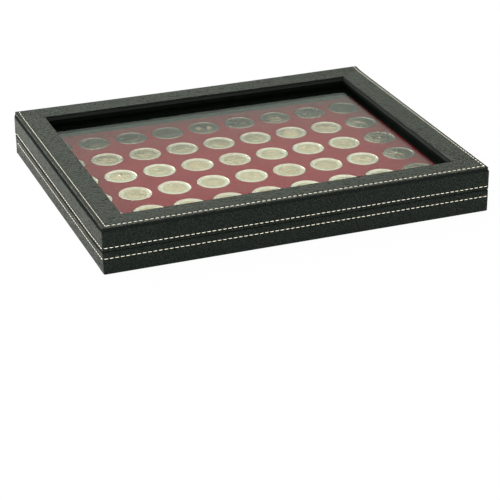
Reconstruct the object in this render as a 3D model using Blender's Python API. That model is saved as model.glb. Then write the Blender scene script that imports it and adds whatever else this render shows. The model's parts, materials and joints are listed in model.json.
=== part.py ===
# Coin display case with a glazed lid, in metres with Z up.
# The origin is the middle of the footprint, on the surface that the case rests on.
# X runs along the front, and Y goes to the back, where the lid is hinged.
import math

import bmesh
import bpy
from mathutils import Vector

# Outer size of the closed case, and where the lid meets the base
case_width = 0.3085
case_depth = 0.246
case_height = 0.036
seam_height = 0.018

# Rails round the opening in the lid, and the pane below it
side_rail = 0.02085
front_rail = 0.0219
back_rail = 0.0191
glass_drop = 0.0075  # from the top of the lid down to the pane
glass_thickness = 0.002
glass_play = 0.0005  # between the pane's edge and the walls
ledge = 0.0006  # how far the board under the cover looks out into the opening

# Boards, skins and gaps
skin_thickness = 0.0008  # leatherette with its backing
wall_thickness = 0.004
lining_thickness = 0.0015
floor_thickness = 0.0025
bottom_thickness = 0.0008
top_board_thickness = 0.0021
top_cover_thickness = 0.0012
fit_gap = 0.0003  # between glued neighbours
seam_gap = 0.0003  # between the closed lid and the base
groove_height = 0.0005  # shadow line under the top cover
top_cover_side_inset = 0.0002  # how far the top cover stays behind the left and right sides
top_cover_front_inset = 0.0009
top_cover_back_inset = 0.0002
foot_gap = 0.0001  # under the side skins, above the resting surface
corner_radius = 0.0012  # upright corners of the case
skin_radius = 0.0006  # folded edges of the skins

# Tray, and the coins that its recesses fit
pad_thickness = 0.0017
tray_thickness = 0.005
tray_clearance = 0.0008
tray_edge_radius = 0.0006
recess_depth = 0.0026
recess_clearance = 0.0003
coin_diameter = 0.02575
side_border = 0.00195  # flat edge of the tray beside the outer recesses
front_border = 0.0051
column_web = 0.004  # least flat between the recesses of a row
row_web = 0.0085  # least flat between two rows
recess_sides = 24

# Catch: slim magnets in the base, steel plates in the lid
magnet_length = 0.02
magnet_width = 0.0022
magnet_height = 0.002
plate_height = 0.0012
magnet_clearance = 0.0003
magnet_spread = 0.15  # between the middles of the two magnets

# Folding hinge along the back
hinge_offset = 0.0003  # fold line, behind the back skin
hinge_rise = 0.0001  # fold line, above the middle of the seam

cut_overrun = 0.001
merge_distance = 0.000003  # mesh points closer than this are one
arc_steps = 3

# Half sizes of the nested outlines, worked inwards from the case
half_width = case_width / 2
half_depth = case_depth / 2
wall_inset = skin_thickness + fit_gap
wall_inner_inset = wall_inset + wall_thickness
lining_inset = wall_inner_inset + fit_gap
lining_inner_inset = lining_inset + lining_thickness
tray_inset = lining_inner_inset + tray_clearance
window_x = half_width - side_rail
window_front = front_rail - half_depth
window_back = half_depth - back_rail

# Grid of recesses: as many as the tray takes, spread evenly over it
recess_radius = coin_diameter / 2 + recess_clearance
grid_width = 2 * (half_width - tray_inset - side_border)
grid_depth = 2 * (half_depth - tray_inset - front_border)
columns = int(grid_width // (2 * recess_radius + column_web))
rows = int(grid_depth // (2 * recess_radius + row_web))
column_pitch = grid_width / columns
row_pitch = grid_depth / rows

# Heights in the base, worked upwards
base_top = seam_height - seam_gap / 2
floor_low = bottom_thickness + fit_gap
floor_high = floor_low + floor_thickness
pad_low = floor_high + fit_gap
pad_high = pad_low + pad_thickness
tray_low = pad_high + fit_gap
tray_high = tray_low + tray_thickness
recess_floor = tray_high - recess_depth
base_wall_top = base_top - skin_thickness - fit_gap

# Heights in the lid, worked downwards
lid_bottom = seam_height + seam_gap / 2
cover_low = case_height - top_cover_thickness
side_skin_top = cover_low - groove_height
board_high = cover_low - fit_gap
board_low = board_high - top_board_thickness
bar_high = board_low - fit_gap
glass_high = case_height - glass_drop
glass_low = glass_high - glass_thickness
bar_low = glass_high + fit_gap
lid_lining_top = glass_low - fit_gap
lid_wall_low = lid_bottom + skin_thickness + fit_gap


def clear_scene():
    for old in list(bpy.data.objects):
        bpy.data.objects.remove(old, do_unlink=True)


def make_material(name, color, roughness, metallic=0.0):
    material = bpy.data.materials.new(name)
    material.use_nodes = True
    shader = material.node_tree.nodes["Principled BSDF"]
    shader.inputs["Base Color"].default_value = (*color, 1.0)
    shader.inputs["Roughness"].default_value = roughness
    shader.inputs["Metallic"].default_value = metallic
    material.diffuse_color = (*color, 1.0)
    return material


def make_pivot(name, place):
    pivot = bpy.data.objects.new(name, None)
    pivot.empty_display_size = wall_thickness
    pivot.location = place
    bpy.context.collection.objects.link(pivot)
    return pivot


def add_object(name, shape, place, material, pivot=None):
    # Turns a bmesh into a named object at a place given in the case's frame
    bmesh.ops.recalc_face_normals(shape, faces=shape.faces)
    mesh = bpy.data.meshes.new(name)
    shape.to_mesh(mesh)
    shape.free()
    if material:
        mesh.materials.append(material)
    piece = bpy.data.objects.new(name, mesh)
    bpy.context.collection.objects.link(piece)
    piece.location = Vector(place)
    if pivot:
        piece.parent = pivot
        piece.location = Vector(place) - pivot.location
    return piece


def block(name, low, high, material, pivot=None):
    # A board or sheet between two opposite corners
    size = Vector(high) - Vector(low)
    middle = (Vector(high) + Vector(low)) / 2
    shape = bmesh.new()
    bmesh.ops.create_cube(shape, size=1.0)
    bmesh.ops.scale(shape, vec=size, verts=shape.verts)
    return add_object(name, shape, middle, material, pivot)


def arc(center, radius, start, end, steps=arc_steps):
    # Points of a quarter turn, as inset and height, with angles in degrees
    turns = [math.radians(start + (end - start) * step / steps) for step in range(steps + 1)]
    return [(center[0] + radius * math.cos(turn), center[1] + radius * math.sin(turn)) for turn in turns]


def bridge(shape, stations, closed):
    # Joins equal sections into one skin, and caps the two ends of an open run
    loops = [[shape.verts.new(point) for point in station] for station in stations]
    count = len(loops[0])
    pairs = list(zip(loops, loops[1:]))
    if closed:
        pairs.append((loops[-1], loops[0]))
    for first, second in pairs:
        for spot in range(count):
            after = (spot + 1) % count
            shape.faces.new((first[spot], first[after], second[after], second[spot]))
    if not closed:
        shape.faces.new(loops[0])
        shape.faces.new(loops[-1])


def wrap_section(low, high, fold_up):
    # Section of a side skin as inset and height: an upright wall with its turned in edge
    inner = skin_thickness
    turn_in = wall_inner_inset
    rolled_top = arc((skin_radius, high - skin_radius), skin_radius, 180, 90)
    if fold_up:
        tucked = [(turn_in, high), (turn_in, high - inner), (inner, high - inner), (inner, low)]
        return [(0, low), *rolled_top, *tucked]
    rolled_foot = arc((skin_radius, low + skin_radius), skin_radius, 180, 270)
    tucked = [(turn_in, low), (turn_in, low + inner), (inner, low + inner), (inner, high)]
    return [*reversed(rolled_top), *rolled_foot, *tucked]


def flat_section(section):
    # The upright part of a skin's section alone, without its turned in edge
    heights = [height for inset, height in section]
    outer = [(inset, height) for inset, height in section if inset <= skin_radius]
    inner = [(skin_thickness, max(heights)), (skin_thickness, min(heights))]
    if outer[0][1] > outer[-1][1]:
        inner.reverse()
    return outer + inner


def side_skin(name, section, material, pivot=None):
    # A skin round the left, front and right, with rounded upright corners
    back = half_depth - skin_thickness - fit_gap
    turns = [math.radians(90 * step / arc_steps) for step in range(arc_steps + 1)]
    stations = [[(inset - half_width, back, height) for inset, height in section]]
    for side, sweep in ((-1, turns), (1, list(reversed(turns)))):
        for turn in sweep:
            station = []
            for inset, height in section:
                reach = max(corner_radius - inset, 0)
                step_in = max(inset, corner_radius)
                x = side * (half_width - step_in + reach * math.cos(turn))
                y = step_in - half_depth - reach * math.sin(turn)
                station.append((x, y, height))
            stations.append(station)
    stations.append([(half_width - inset, back, height) for inset, height in section])
    shape = bmesh.new()
    bridge(shape, stations, closed=False)
    bmesh.ops.remove_doubles(shape, verts=shape.verts, dist=merge_distance)
    bmesh.ops.dissolve_degenerate(shape, edges=shape.edges, dist=merge_distance)
    return add_object(name, shape, (0, 0, 0), material, pivot)


def back_skin(name, section, material, pivot=None):
    # The straight skin across the back, one half of the folding hinge
    stations = []
    for end in (-half_width, half_width):
        stations.append([(end, half_depth - inset, height) for inset, height in section])
    shape = bmesh.new()
    bridge(shape, stations, closed=False)
    return add_object(name, shape, (0, 0, 0), material, pivot)


def hinge_tape(name, low, high, material, pivot=None):
    # Cloth strip on the edge of the back wall, inside the back skin
    reach_x = half_width - wall_inner_inset - fit_gap
    outer = half_depth - wall_inset
    block(name, (-reach_x, outer - wall_thickness, low), (reach_x, outer, high), material, pivot)


def frame(name, section, material, pivot=None):
    # A rectangular ring, whose section is given as half width, front, back and height
    stations = []
    for across in (-1, 1):
        front_corner = [(across * reach_x, front, height) for reach_x, front, back, height in section]
        back_corner = [(across * reach_x, back, height) for reach_x, front, back, height in section]
        stations += [front_corner, back_corner] if across > 0 else [back_corner, front_corner]
    shape = bmesh.new()
    bridge(shape, stations, closed=True)
    return add_object(name, shape, (0, 0, 0), material, pivot)


def four_boards(names, inset, thickness, low, high, material, pivot=None):
    # Front and back boards run the full width, and the side boards fit between them
    reach_x = half_width - inset
    reach_y = half_depth - inset
    between = reach_y - thickness - fit_gap
    block(names[0], (-reach_x, -reach_y, low), (reach_x, thickness - reach_y, high), material, pivot)
    block(names[1], (-reach_x, reach_y - thickness, low), (reach_x, reach_y, high), material, pivot)
    block(names[2], (-reach_x, -between, low), (thickness - reach_x, between, high), material, pivot)
    block(names[3], (reach_x - thickness, -between, low), (reach_x, between, high), material, pivot)


def board_names(stem):
    return [f"{stem}_{side}" for side in ("front", "back", "left", "right")]


def add_disc(shape, radius, low, high, center):
    made = bmesh.ops.create_cone(
        shape, cap_ends=True, segments=recess_sides, radius1=radius, radius2=radius, depth=high - low
    )
    bmesh.ops.translate(shape, verts=made["verts"], vec=(*center, (low + high) / 2))


def cut(piece, cutter):
    cutter.hide_render = True
    cutter.display_type = "WIRE"
    pocket = piece.modifiers.new("pocket", "BOOLEAN")
    pocket.operation = "DIFFERENCE"
    pocket.solver = "EXACT"
    pocket.object = cutter


def round_edges(piece, radius):
    bevel = piece.modifiers.new("rounding", "BEVEL")
    bevel.width = radius
    bevel.segments = 1
    bevel.limit_method = "ANGLE"


def catch_bar(name, side, low, high, grow, material, pivot=None):
    # One bar of the catch in a front wall, or its pocket when grown
    middle_x = side * magnet_spread / 2
    middle_y = wall_inset + wall_thickness / 2 - half_depth
    reach_x = magnet_length / 2 + grow
    reach_y = magnet_width / 2 + grow
    lowest = (middle_x - reach_x, middle_y - reach_y, low)
    highest = (middle_x + reach_x, middle_y + reach_y, high)
    return block(name, lowest, highest, material, pivot)


def recess_center(row, column):
    # Row 0 is nearest the front
    return ((column - (columns - 1) / 2) * column_pitch, (row - (rows - 1) / 2) * row_pitch)


def build_base(leatherette, board, lining, felt, steel):
    bottom_x = half_width - wall_inset
    bottom_y = half_depth - wall_inset
    block("base_bottom_sheet", (-bottom_x, -bottom_y, 0), (bottom_x, bottom_y, bottom_thickness), felt)

    floor_x = half_width - lining_inset
    floor_y = half_depth - lining_inset
    block("base_floor_board", (-floor_x, -floor_y, floor_low), (floor_x, floor_y, floor_high), board)

    four_boards(board_names("base_wall"), wall_inset, wall_thickness, floor_low, base_wall_top, board)
    four_boards(board_names("base_lining"), lining_inset, lining_thickness, pad_low, base_top, lining)
    section = wrap_section(foot_gap, base_top, True)
    side_skin("base_side_cover", section, leatherette)
    back_skin("base_back_cover", flat_section(section), leatherette)
    hinge_tape("base_hinge_tape", base_top - skin_thickness, base_top, lining)

    pad_x = half_width - tray_inset
    pad_y = half_depth - tray_inset
    block("tray_pad", (-pad_x, -pad_y, pad_low), (pad_x, pad_y, pad_high), felt)

    magnet_low = base_wall_top - magnet_height
    pocket_low = magnet_low - magnet_clearance
    pocket_high = base_wall_top + cut_overrun
    for side, word in ((-1, "left"), (1, "right")):
        pocket = catch_bar(f"magnet_pocket_{word}", side, pocket_low, pocket_high, magnet_clearance, None)
        cut(bpy.data.objects["base_wall_front"], pocket)
        catch_bar(f"base_magnet_{word}", side, magnet_low, base_wall_top, 0, steel)


def build_tray(velour):
    pivot = make_pivot("tray_lift", (0, 0, tray_low))
    tray_x = half_width - tray_inset
    tray_y = half_depth - tray_inset
    tray = block("coin_tray", (-tray_x, -tray_y, tray_low), (tray_x, tray_y, tray_high), velour, pivot)
    round_edges(tray, tray_edge_radius)

    recesses = bmesh.new()
    for row in range(rows):
        for column in range(columns):
            center = recess_center(row, column)
            add_disc(recesses, recess_radius, recess_floor, tray_high + cut_overrun, center)
    cut(tray, add_object("coin_recesses", recesses, (0, 0, 0), None, pivot))


def build_lid(leatherette, board, lining, glass, steel):
    pivot = make_pivot("lid_hinge", (0, half_depth + hinge_offset, seam_height + hinge_rise))

    cover_x = half_width - top_cover_side_inset
    cover_front = top_cover_front_inset - half_depth
    cover_back = half_depth - top_cover_back_inset
    rolled = arc((skin_radius, case_height - skin_radius), skin_radius, 180, 90)
    section = []
    for inset, height in [(0, cover_low), *rolled]:
        section.append((cover_x - inset, cover_front + inset, cover_back - inset, height))
    for inset, height in [*reversed(rolled), (0, cover_low)]:
        section.append((window_x + inset, window_front - inset, window_back + inset, height))
    frame("lid_top_cover", section, leatherette, pivot)

    board_x = half_width - wall_inset
    board_y = half_depth - wall_inset
    sight_x = window_x - ledge
    sight_front = window_front + ledge
    sight_back = window_back - ledge
    ring = [(board_x, -board_y, board_y, board_low), (board_x, -board_y, board_y, board_high)]
    ring += [(sight_x, sight_front, sight_back, board_high), (sight_x, sight_front, sight_back, board_low)]
    frame("lid_top_board", ring, lining, pivot)

    bar_inset = wall_inner_inset + fit_gap
    bar_x = half_width - bar_inset
    bar_y = half_depth - bar_inset
    side_front = window_front + fit_gap
    side_back = window_back - fit_gap
    bars = board_names("window_bar")
    block(bars[0], (-bar_x, -bar_y, bar_low), (bar_x, window_front, bar_high), lining, pivot)
    block(bars[1], (-bar_x, window_back, bar_low), (bar_x, bar_y, bar_high), lining, pivot)
    block(bars[2], (-bar_x, side_front, bar_low), (-window_x, side_back, bar_high), lining, pivot)
    block(bars[3], (window_x, side_front, bar_low), (bar_x, side_back, bar_high), lining, pivot)

    glass_x = half_width - wall_inner_inset - glass_play
    glass_y = half_depth - wall_inner_inset - glass_play
    block("glass_pane", (-glass_x, -glass_y, glass_low), (glass_x, glass_y, glass_high), glass, pivot)

    four_boards(board_names("lid_wall"), wall_inset, wall_thickness, lid_wall_low, bar_high, board, pivot)
    four_boards(
        board_names("lid_lining"), lining_inset, lining_thickness, lid_bottom, lid_lining_top, lining, pivot
    )
    section = wrap_section(lid_bottom, side_skin_top, False)
    side_skin("lid_side_cover", section, leatherette, pivot)
    back_skin("lid_back_cover", flat_section(section), leatherette, pivot)
    hinge_tape("lid_hinge_tape", lid_bottom, lid_bottom + skin_thickness, lining, pivot)

    plate_high = lid_wall_low + plate_height
    pocket_low = lid_wall_low - cut_overrun
    pocket_high = plate_high + magnet_clearance
    for side, word in ((-1, "left"), (1, "right")):
        name = f"plate_pocket_{word}"
        pocket = catch_bar(name, side, pocket_low, pocket_high, magnet_clearance, None, pivot)
        cut(bpy.data.objects["lid_wall_front"], pocket)
        catch_bar(f"lid_strike_plate_{word}", side, lid_wall_low, plate_high, 0, steel, pivot)


def build_case():
    clear_scene()
    leatherette = make_material("black_leatherette", (0.022, 0.024, 0.022), 0.55)
    board = make_material("grey_board", (0.24, 0.21, 0.17), 0.85)
    lining = make_material("black_lining", (0.008, 0.009, 0.008), 0.9)
    felt = make_material("black_felt", (0.012, 0.012, 0.012), 0.95)
    velour = make_material("dark_red_velour", (0.14, 0.008, 0.012), 0.95)
    glass = make_material("clear_glass", (0.93, 0.97, 0.95), 0.03)
    steel = make_material("plated_steel", (0.6, 0.6, 0.6), 0.3, 1.0)
    build_base(leatherette, board, lining, felt, steel)
    build_tray(velour)
    build_lid(leatherette, board, lining, glass, steel)


build_case()
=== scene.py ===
# Looks of the coin display case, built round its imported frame
# Metres, Z up. The front faces -Y and the lid is hinged along +Y.
import json
from math import atan2, copysign, cos, hypot, pi, radians, sin

import bmesh
import bpy
import numpy as np
from mathutils import Matrix, Vector

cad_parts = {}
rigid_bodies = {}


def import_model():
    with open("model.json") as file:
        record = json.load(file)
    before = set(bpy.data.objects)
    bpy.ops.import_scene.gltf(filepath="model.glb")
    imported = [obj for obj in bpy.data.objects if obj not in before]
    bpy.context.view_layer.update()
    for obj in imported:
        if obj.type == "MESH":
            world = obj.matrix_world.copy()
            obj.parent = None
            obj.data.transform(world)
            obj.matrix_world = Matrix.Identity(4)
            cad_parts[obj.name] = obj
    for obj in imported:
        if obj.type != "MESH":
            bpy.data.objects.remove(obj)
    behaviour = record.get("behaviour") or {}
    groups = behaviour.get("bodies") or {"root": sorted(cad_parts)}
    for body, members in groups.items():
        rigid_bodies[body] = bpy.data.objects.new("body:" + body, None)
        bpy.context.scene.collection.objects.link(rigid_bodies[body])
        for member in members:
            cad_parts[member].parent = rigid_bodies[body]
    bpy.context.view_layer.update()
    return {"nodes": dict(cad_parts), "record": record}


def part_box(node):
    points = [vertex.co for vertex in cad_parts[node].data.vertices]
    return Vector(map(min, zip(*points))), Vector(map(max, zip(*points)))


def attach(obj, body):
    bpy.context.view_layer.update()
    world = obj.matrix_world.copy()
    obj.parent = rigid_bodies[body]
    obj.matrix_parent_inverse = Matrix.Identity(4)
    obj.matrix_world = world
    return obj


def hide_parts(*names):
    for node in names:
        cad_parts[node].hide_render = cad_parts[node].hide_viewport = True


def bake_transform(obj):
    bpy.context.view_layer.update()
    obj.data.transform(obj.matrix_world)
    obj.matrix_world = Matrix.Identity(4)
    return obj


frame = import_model()


def addObject(name, data):
    holder = bpy.data.objects.new(name, data)
    bpy.context.scene.collection.objects.link(holder)
    return holder


# Camera

cameraPlace = {
    "target": (0.0, 0.0, 0.018), "distance": 1.42662,
    "turn": 0.36952,  # radians round Z, from straight in front
    "rise": 0.39460, "roll": -0.00136, "lens": 128.842,
    "shift": (0.01351, -0.17990),
}


def addCamera(place):
    camera = bpy.data.cameras.new("photoCamera")
    camera.lens = place["lens"]
    camera.shift_x, camera.shift_y = place["shift"]
    turn = Matrix.Rotation(-place["turn"], 4, "Z")
    rise = Matrix.Rotation(pi / 2 - place["rise"], 4, "X")
    roll = Matrix.Rotation(place["roll"], 4, "Z")
    target = Matrix.Translation(place["target"])
    holder = addObject("photoCamera", camera)
    holder.matrix_world = target @ turn @ rise @ roll @ Matrix.Translation((0, 0, place["distance"]))
    bpy.context.scene.camera = holder


addCamera(cameraPlace)
bpy.context.scene.view_settings.view_transform = "Standard"
print("camera placed")


def addNode(tree, kind, settings, values):
    # Values are wires, sockets or constants
    node = tree.nodes.new(kind)
    for key, value in settings.items():
        setattr(node, key, value)
    for key, value in values.items():
        feed(tree, node.inputs[key], value)
    return node


def feed(tree, socket, value):
    source = getattr(value, "socket", value)
    if isinstance(source, bpy.types.NodeSocket):
        tree.links.new(source, socket)
    else:
        socket.default_value = source


def operator(operation, swapped=False):
    def combine(wire, other):
        first, second = (other, wire) if swapped else (wire, other)
        return wire.finish.add("ShaderNodeMath", {0: first, 1: second}, operation=operation)

    return combine


class Wire:
    # A shader socket that takes part in sums
    __add__, __radd__ = operator("ADD"), operator("ADD", True)
    __sub__, __rsub__ = operator("SUBTRACT"), operator("SUBTRACT", True)
    __mul__, __gt__ = operator("MULTIPLY"), operator("GREATER_THAN")

    def __init__(self, finish, socket):
        self.finish = finish
        self.socket = socket


class Finish:
    # A material with one Principled shader, whose other nodes are added by one method
    def __init__(self, name, constants):
        self.material = bpy.data.materials.new(name)
        self.material.use_nodes = True
        self.tree = self.material.node_tree
        self.shader = self.tree.nodes["Principled BSDF"]
        self.where = self.add("ShaderNodeTexCoord", output="Object")
        for socket, value in constants.items():
            self.shader.inputs[socket].default_value = value

    def add(self, kind, values={}, output=0, **settings):
        return Wire(self, addNode(self.tree, kind, settings, values).outputs[output])

    def use(self, **wires):
        for key, value in wires.items():
            feed(self.tree, self.shader.inputs[key.replace("_", " ")], value)

    def cover(self, factor, other):
        # Shows another shader over the Principled one, by a factor
        values = {0: factor, 1: Wire(self, self.shader.outputs[0]), 2: other}
        both = self.add("ShaderNodeMixShader", values)
        feed(self.tree, self.tree.nodes["Material Output"].inputs["Surface"], both)

    def attribute(self, name):
        return self.add("ShaderNodeAttribute", output="Fac", attribute_name=name)

    def noise(self, grain, detail=2.0, roughness=0.5, where=None):
        # Cloudy noise whose features are about as large as the grain, in metres
        values = {"Vector": where or self.where, "Scale": 1 / grain, "Detail": detail,
                  "Roughness": roughness}
        return self.add("ShaderNodeTexNoise", values)

    def cells(self, where, grain, feature):
        values = {"Vector": where, "Scale": 1 / grain}
        return self.add("ShaderNodeTexVoronoi", values, feature=feature)

    def shades(self, factor, first, second):
        # Colours are given with three numbers
        ends = [(*end, 1) if isinstance(end, tuple) else end for end in (first, second)]
        return self.add("ShaderNodeMix", {0: factor, 6: ends[0], 7: ends[1]}, 2, data_type="RGBA")

    def ramp(self, factor, low, high):
        # Rises from 0 at the low value to 1 at the high one
        wire = self.add("ShaderNodeValToRGB", {"Fac": factor})
        elements = wire.socket.node.color_ramp.elements
        elements[0].position, elements[1].position = low, high
        return wire

    def bump(self, height, depth, strength):
        values = {"Height": height, "Distance": depth, "Strength": strength}
        return self.add("ShaderNodeBump", values)


# Materials

leatheretteLook = {
    "valley": (0.0014, 0.0060, 0.0032), "crest": (0.0024, 0.0092, 0.0044), "wear": 0.25,
    "pebble": 0.0014, "crease": 0.0042, "fine": 0.0009, "cloud": 0.0063,
    "wander": 0.0012,  # of the creases, sideways
    "pebbleRange": (0.10, 0.80), "creaseRange": (0.0, 0.12), "toneRange": (0.36, 0.78),
    "shares": (0.60, 0.12, 0.28),  # of the pebbles, the creases and the fine grain in the height
    "depth": 0.0023, "relief": 0.9, "roughness": 0.72,
    "smoother": 0.16,  # on the crests
    # the dull colour is painted shade, laid over bends, stitch furrows and the roll under the cover
    "uneven": 0.06, "shine": 0.80, "valleyShine": 0.06, "dull": (0.0120, 0.0125, 0.0100, 1),
    "foldShadeShare": 0.9,
    "sockets": {
        "Specular IOR Level": 0.17, "Coat Roughness": 0.42, "Coat IOR": 1.3,
        "Sheen Weight": 0.15, "Sheen Roughness": 0.24, "Sheen Tint": (1.0, 1.0, 0.78, 1),
    },
}


def makeLeatherette(name, look):
    finish = Finish(name, look["sockets"])
    drift = finish.noise(look["cloud"])
    values = {"Vector": finish.where, "Scale": 1 / look["crease"]}
    sideways = finish.add("ShaderNodeTexNoise", values, "Color")
    values = {0: sideways, 1: (look["wander"],) * 3, 2: finish.where}
    shifted = finish.add("ShaderNodeVectorMath", values, operation="MULTIPLY_ADD")
    pebbles = finish.cells(shifted, look["pebble"], "F1")
    creases = finish.cells(shifted, look["crease"], "DISTANCE_TO_EDGE")
    crown = 1 - finish.ramp(pebbles, *look["pebbleRange"])
    valley = finish.ramp(creases, *look["creaseRange"])
    fine = finish.noise(look["fine"], 3)
    crownShare, valleyShare, fineShare = look["shares"]
    height = crown * crownShare + valley * valleyShare + fine * fineShare
    tone = finish.ramp(height, *look["toneRange"])
    color = finish.shades(tone, look["valley"], look["crest"])
    grain = finish.bump(height, look["depth"], look["relief"])
    finish.use(
        Base_Color=finish.shades(drift * look["wear"], color, look["crest"]),
        Roughness=look["roughness"] - tone * look["smoother"] + (drift - 0.5) * look["uneven"],
        Coat_Weight=(look["valleyShine"] + tone * (1 - look["valleyShine"])) * look["shine"],
        Normal=grain,
    )
    # Painted shade: where the fold attribute is set, on bends, pressed stitch lines and the roll under the
    # cover, a dull dark diffuse layer covers the coat and sheen
    fold = finish.attribute("fold")
    dull = finish.add("ShaderNodeBsdfDiffuse", {"Color": look["dull"], "Normal": grain})
    finish.cover(fold * look["foldShadeShare"], dull)
    return finish.material


threadLook = {
    "shade": (1.0, 0.96, 0.82), "warm": (0.95, 0.80, 0.52), "warmShare": 0.5,
    "patch": 0.006, "patchRange": (0.45, 0.75), "twist": 0.00060,
    "twistBands": 6.3,  # of the wave texture, in one unit
    "twistDepth": 0.00012, "relief": 0.7,
    # Painted light: the thread glows in its own colour with this emission strength
    "sockets": {"Specular IOR Level": 0.3, "Roughness": 0.75, "Emission Strength": 0.42},
}


def makeThread(name, look):
    finish = Finish(name, look["sockets"])
    values = {"Vector": finish.where, "Scale": 1 / look["twist"] / look["twistBands"], "Distortion": 1.0}
    strands = finish.add("ShaderNodeTexWave", values, "Fac", bands_direction="DIAGONAL")
    patches = finish.ramp(finish.noise(look["patch"]), *look["patchRange"])
    color = finish.shades(patches * look["warmShare"], look["shade"], look["warm"])
    twist = finish.bump(strands, look["twistDepth"], look["relief"])
    # The emission in the thread's colour is painted light, making the stitches brighter than their
    # lighting gives
    finish.use(Base_Color=color, Emission_Color=color, Normal=twist)
    return finish.material


clothLooks = {
    "darkRedFlock": {"shade": (0.190, 0.0030, 0.0130), "lint": (0.260, 0.008, 0.021), "grain": 0.0004,
                     "depth": 0.0002, "sheen": 0.0, "gloss": 0.0},
    "blackLining": {"shade": (0.0012, 0.0030, 0.0016), "lint": (0.0035, 0.0065, 0.0042), "grain": 0.0003,
                    "depth": 0.0001, "sheen": 0.0, "gloss": 0.03},
    "blackFelt": {"shade": (0.008, 0.009, 0.008), "lint": (0.022, 0.024, 0.022), "grain": 0.0006,
                  "depth": 0.0002, "sheen": 0.1, "gloss": 0.15},
}

pile = {"cloudScale": 30, "cloudShare": 0.4, "lintRange": (0.35, 0.70), "relief": 0.8}


def makeCloth(name):
    # Flock, felt and lining cloth: a short pile with lighter lint
    look, share = clothLooks[name], pile["cloudShare"]
    constants = {"Specular IOR Level": look["gloss"], "Roughness": 0.95, "Sheen Weight": look["sheen"]}
    finish = Finish(name, {**constants, "Sheen Roughness": 0.5})
    hairs = finish.noise(look["grain"], 4, 0.7)
    cloud = finish.noise(look["grain"] * pile["cloudScale"], 3)
    lint = finish.ramp(hairs * (1 - share) + cloud * share, *pile["lintRange"])
    finish.use(
        Base_Color=finish.shades(lint, look["shade"], look["lint"]),
        Normal=finish.bump(hairs, look["depth"], pile["relief"]),
    )
    return finish.material


boardLook = {"stretch": (1, 1, 1), "noise": (5, 0.65), "roughness": 0.72, "rougher": 0.2,
             "depth": 0.00006, "relief": 0.6, "sockets": {"Specular IOR Level": 0.25}}
blackShades = {"shade": (0.006, 0.009, 0.007), "light": (0.011, 0.015, 0.012), "grain": 0.0006}
greyShades = {"shade": (0.20, 0.175, 0.14), "light": (0.30, 0.27, 0.22), "grain": 0.0012}
steelLook = {"shade": (0.52, 0.52, 0.50), "light": (0.68, 0.68, 0.66), "grain": 0.002,
             "stretch": (1, 14, 14), "noise": (4, 0.5), "roughness": 0.22, "rougher": 0.2,
             "depth": 0.00002, "relief": 0.5, "sockets": {"Metallic": 1.0}}


def makeGrained(name, look):
    # Board fibres, or steel brushed along X
    finish = Finish(name, look["sockets"])
    mapped = finish.add("ShaderNodeMapping", {"Vector": finish.where, "Scale": look["stretch"]})
    grain = finish.noise(look["grain"], *look["noise"], mapped)
    finish.use(
        Base_Color=finish.shades(grain, look["shade"], look["light"]),
        Roughness=look["roughness"] + grain * look["rougher"],
        Normal=finish.bump(grain, look["depth"], look["relief"]),
    )
    return finish.material


glassLook = {"tint": (0.95, 0.985, 0.955, 1), "index": 1.187}  # a coated pane


def makeGlass(name, look):
    constants = {"Base Color": look["tint"], "Roughness": 0.0, "IOR": look["index"]}
    finish = Finish(name, {**constants, "Transmission Weight": 1.0})
    # Shadows and soft light pass as through clear air
    shadow = finish.add("ShaderNodeLightPath", output="Is Shadow Ray")
    diffuse = finish.add("ShaderNodeLightPath", output="Is Diffuse Ray")
    clear = finish.add("ShaderNodeBsdfTransparent", {"Color": look["tint"]})
    factor = finish.add("ShaderNodeMath", {0: shadow, 1: diffuse}, operation="MAXIMUM")
    finish.cover(factor, clear)
    return finish.material


coinLook = {
    "ring": (0.96, 0.84, 0.73), "ringDull": (0.68, 0.54, 0.43),
    "center": (0.80, 0.64, 0.46), "centerDull": (0.58, 0.42, 0.28), "centerShare": 0.71,
    "stain": 0.004, "stainRange": (0.35, 0.70), "stainShare": 0.5, "roughness": 0.15,
    "rougher": 0.16, "scratch": 0.0009, "scratchDepth": 0.00036, "relief": 0.8,
}


def makeCoinMetal(name, look):
    finish = Finish(name, {"Metallic": 0.92})
    spot = finish.attribute("spot")
    tone = finish.attribute("tone")
    stain = finish.ramp(finish.noise(look["stain"], 4, 0.6), *look["stainRange"])
    dull = stain * look["stainShare"] + tone * (1 - look["stainShare"])
    ring = finish.shades(dull, look["ring"], look["ringDull"])
    center = finish.shades(dull, look["center"], look["centerDull"])
    scratches = finish.noise(look["scratch"], 3, 0.65)
    finish.use(
        Base_Color=finish.shades(spot > look["centerShare"], center, ring),
        Roughness=look["roughness"] + dull * look["rougher"],
        Normal=finish.bump(scratches, look["scratchDepth"], look["relief"]),
    )
    return finish.material


leatherette = makeLeatherette("blackLeatherette", leatheretteLook)
thread = makeThread("ivoryThread", threadLook)
flock = makeCloth("darkRedFlock")
blackBoard = makeGrained("blackBoard", {**boardLook, **blackShades})
coinMetal = makeCoinMetal("coinMetal", coinLook)

slotFinish = {
    "black_leatherette": leatherette, "grey_board": makeGrained("greyBoard", {**boardLook, **greyShades}),
    "black_lining": makeCloth("blackLining"), "black_felt": makeCloth("blackFelt"),
    "dark_red_velour": flock, "clear_glass": makeGlass("clearGlass", glassLook),
    "plated_steel": makeGrained("platedSteel", steelLook),
}


def dressNodes():
    # Each solid gets the finish of its slot, but the lid's top board and the walls get black board: the
    # board's edge is black lined, and the black walls are painted shade in the grooves between the skins
    slots = {part["node"]: part["material_slot"] for part in frame["record"]["subparts"]}
    for name, node in frame["nodes"].items():
        dark = name == "lid_top_board" or "_wall_" in name
        finish = blackBoard if dark else slotFinish[slots[name]]
        node.data.materials.clear()
        node.data.materials.append(finish)


dressNodes()
print("materials made")


mergeDistance = 0.000004
sharpAngle = {"sheet": 35, "thread": 80, "round": 50}  # degrees, sharper edges than these stay


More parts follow.
